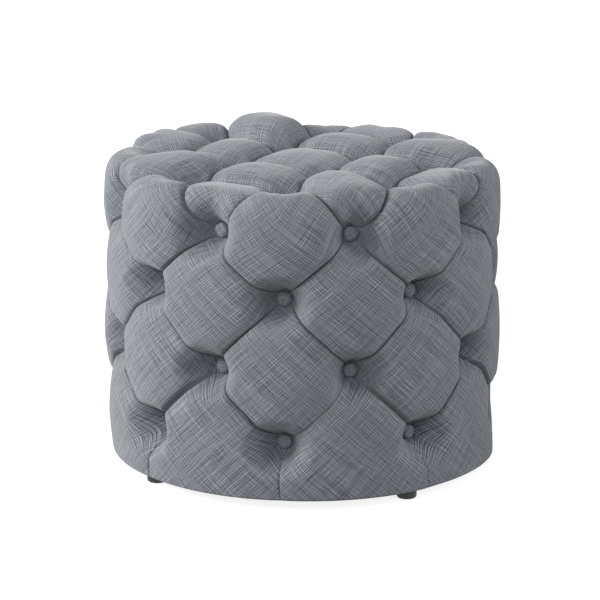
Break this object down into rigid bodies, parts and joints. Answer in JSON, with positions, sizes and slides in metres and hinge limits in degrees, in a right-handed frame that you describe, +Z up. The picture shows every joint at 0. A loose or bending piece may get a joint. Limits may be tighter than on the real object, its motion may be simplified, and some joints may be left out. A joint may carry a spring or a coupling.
{
  "type": "ottoman coffee table",
  "caption": "Low round ottoman coffee table with a drum body, deep diamond button tufting over side and top, fabric covered buttons and short round feet.",
  "frame": {"origin": "on the floor, under the middle of the drum", "axes": "+Z up, -Y towards the pictured front"},
  "size_m": [0.5942, 0.5942, 0.4723],
  "materials": {
    "cover_fabric": "heathered grey linen weave",
    "button_fabric": "same grey linen, stretched over a dome",
    "foam": "cream polyurethane foam",
    "plywood": "raw birch plywood",
    "hardboard": "raw bent hardboard",
    "pine": "planed pine",
    "zinc_steel": "zinc plated",
    "twine": "waxed polyester twine",
    "dust_cloth": "black non-woven cloth",
    "black_plastic": "black moulded plastic"
  },
  "bodies": {
    "root": {"tufted_cover": "cover_fabric", "side_foam": "foam", "top_foam": "foam", "base_board": "plywood", "top_board": "plywood", "side_panel": "hardboard", "post_1": "pine", "post_2": "pine", "post_3": "pine", "post_4": "pine", "post_5": "pine", "post_6": "pine", "post_7": "pine", "post_8": "pine", "frame_screws": "zinc_steel", "panel_nails": "zinc_steel", "buttons_row_1": "button_fabric", "button_backs_row_1": "zinc_steel", "twine_row_1": "twine", "twine_anchors_row_1": "zinc_steel", "buttons_row_2": "button_fabric", "button_backs_row_2": "zinc_steel", "twine_row_2": "twine", "twine_anchors_row_2": "zinc_steel", "buttons_row_3": "button_fabric", "button_backs_row_3": "zinc_steel", "twine_row_3": "twine", "twine_anchors_row_3": "zinc_steel", "buttons_row_4": "button_fabric", "button_backs_row_4": "zinc_steel", "twine_row_4": "twine", "twine_anchors_row_4": "zinc_steel", "buttons_top_outer": "button_fabric", "button_backs_top_outer": "zinc_steel", "twine_top_outer": "twine", "twine_anchors_top_outer": "zinc_steel", "buttons_top_inner": "button_fabric", "button_backs_top_inner": "zinc_steel", "twine_top_inner": "twine", "twine_anchors_top_inner": "zinc_steel", "hem_staples": "zinc_steel", "dust_cover": "dust_cloth", "dust_cover_staples": "zinc_steel", "foot_1": "black_plastic", "foot_2": "black_plastic", "foot_3": "black_plastic", "foot_4": "black_plastic", "foot_screws": "zinc_steel"}
  },
  "joints": []
}
